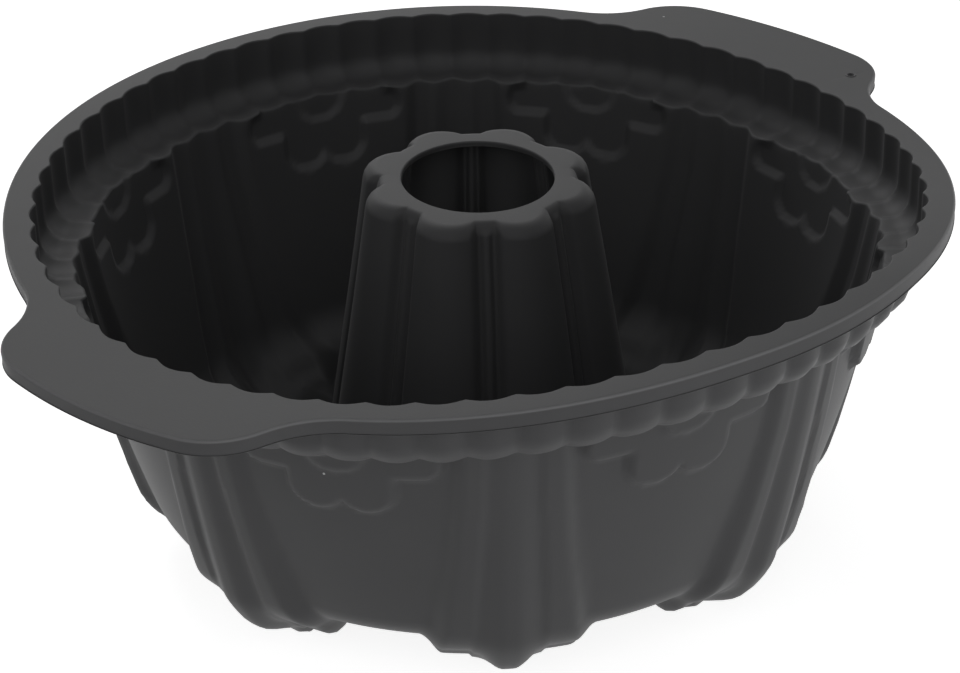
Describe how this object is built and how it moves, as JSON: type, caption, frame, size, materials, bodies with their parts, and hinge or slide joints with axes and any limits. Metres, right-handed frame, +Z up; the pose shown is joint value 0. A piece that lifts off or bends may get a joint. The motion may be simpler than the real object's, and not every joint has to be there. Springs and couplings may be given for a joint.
{
  "type": "brioche mould",
  "caption": "Round silicone brioche mould with a centre chimney, fluted collar, pillared wall with garlands, small feet and a flat rim with handle ears.",
  "frame": {"origin": "centre of the circle of feet, on the surface the mould stands on", "axes": "+Z up along the chimney's axis, the handle ears lie along X"},
  "size_m": [0.2864, 0.25, 0.1087],
  "materials": {
    "silicone": "matte moulded silicone",
    "wire": "bright drawn wire"
  },
  "bodies": {
    "root": {"silicone_mould": "silicone", "wire_frame": "wire"}
  },
  "joints": []
}
